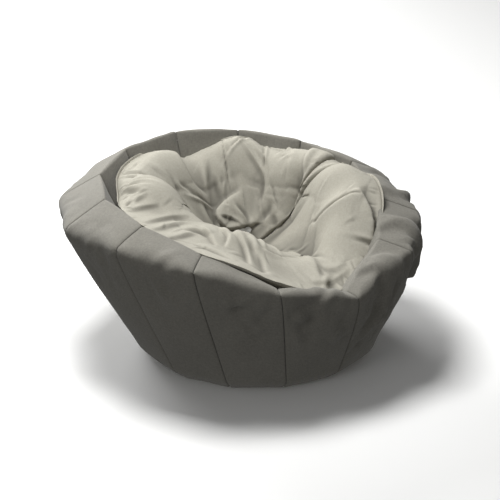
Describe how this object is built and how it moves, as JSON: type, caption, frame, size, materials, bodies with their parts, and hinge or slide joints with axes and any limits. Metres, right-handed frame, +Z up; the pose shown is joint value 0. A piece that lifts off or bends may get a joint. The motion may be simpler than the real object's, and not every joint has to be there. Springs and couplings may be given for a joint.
{
  "type": "bean bag chair",
  "caption": "Bowl-shaped bead-filled floor chair sewn from faceted fabric gores, higher at the back, with a loose dished round cushion in its hollow.",
  "frame": {"origin": "middle of the underside of the chair's bounding box, on the floor", "axes": "+Z up, the low front of the chair faces -Y, the high back is towards +Y, +X to the right seen from the front"},
  "size_m": [1.0522, 1.0436, 0.533],
  "materials": {
    "bowl_cover": "dark taupe-grey plain woven polyester",
    "cushion_cover": "cream smooth woven cotton",
    "liner": "plain white inner bag cloth",
    "bead_fill": "expanded polystyrene beads",
    "bowl_zip_tape": "woven tape with nylon coil",
    "cushion_zip_tape": "woven tape with nylon coil",
    "zip_metal": "nickel-plated zinc"
  },
  "bodies": {
    "bowl": {"base_panel": "bowl_cover", "gore_01": "bowl_cover", "gore_02": "bowl_cover", "gore_03": "bowl_cover", "gore_04": "bowl_cover", "gore_05": "bowl_cover", "gore_06": "bowl_cover", "gore_07": "bowl_cover", "gore_08": "bowl_cover", "gore_09": "bowl_cover", "gore_10": "bowl_cover", "gore_11": "bowl_cover", "gore_12": "bowl_cover", "gore_13": "bowl_cover", "inner_floor_panel": "bowl_cover", "bowl_liner_outer": "liner", "bowl_liner_inner": "liner", "bowl_bead_fill": "bead_fill", "bowl_zip_chain": "bowl_zip_tape"},
    "bowl_slider": {"bowl_zip_slider": "zip_metal"},
    "bowl_pull": {"bowl_zip_pull": "zip_metal"},
    "cushion": {"cushion_top_panel": "cushion_cover", "cushion_bottom_panel_front": "cushion_cover", "cushion_bottom_panel_rear": "cushion_cover", "cushion_liner_top": "liner", "cushion_liner_bottom": "liner", "cushion_bead_fill": "bead_fill", "cushion_zip_chain": "cushion_zip_tape"},
    "cushion_slider": {"cushion_zip_slider": "zip_metal"}
  },
  "joints": [
    {"name": "cushion_lift", "type": "slide", "parent": "bowl", "child": "cushion", "axis": [0, 0, 1], "range_m": [0, 0.6]},
    {"name": "bowl_zip_slide", "type": "slide", "parent": "bowl", "child": "bowl_slider", "axis": [-0.123, 0.3822, 0.9159], "range_m": [0, 0.3]},
    {"name": "bowl_zip_pull_swing", "type": "hinge", "parent": "bowl_slider", "child": "bowl_pull", "pos_m": [0.04932, 0.38035, 0.0733], "axis": [0.9924, 0.0474, 0.1135], "range_deg": [0, 140]},
    {"name": "cushion_zip_slide", "type": "slide", "parent": "cushion", "child": "cushion_slider", "axis": [1, 0, 0], "range_m": [0, 0.375]}
  ]
}
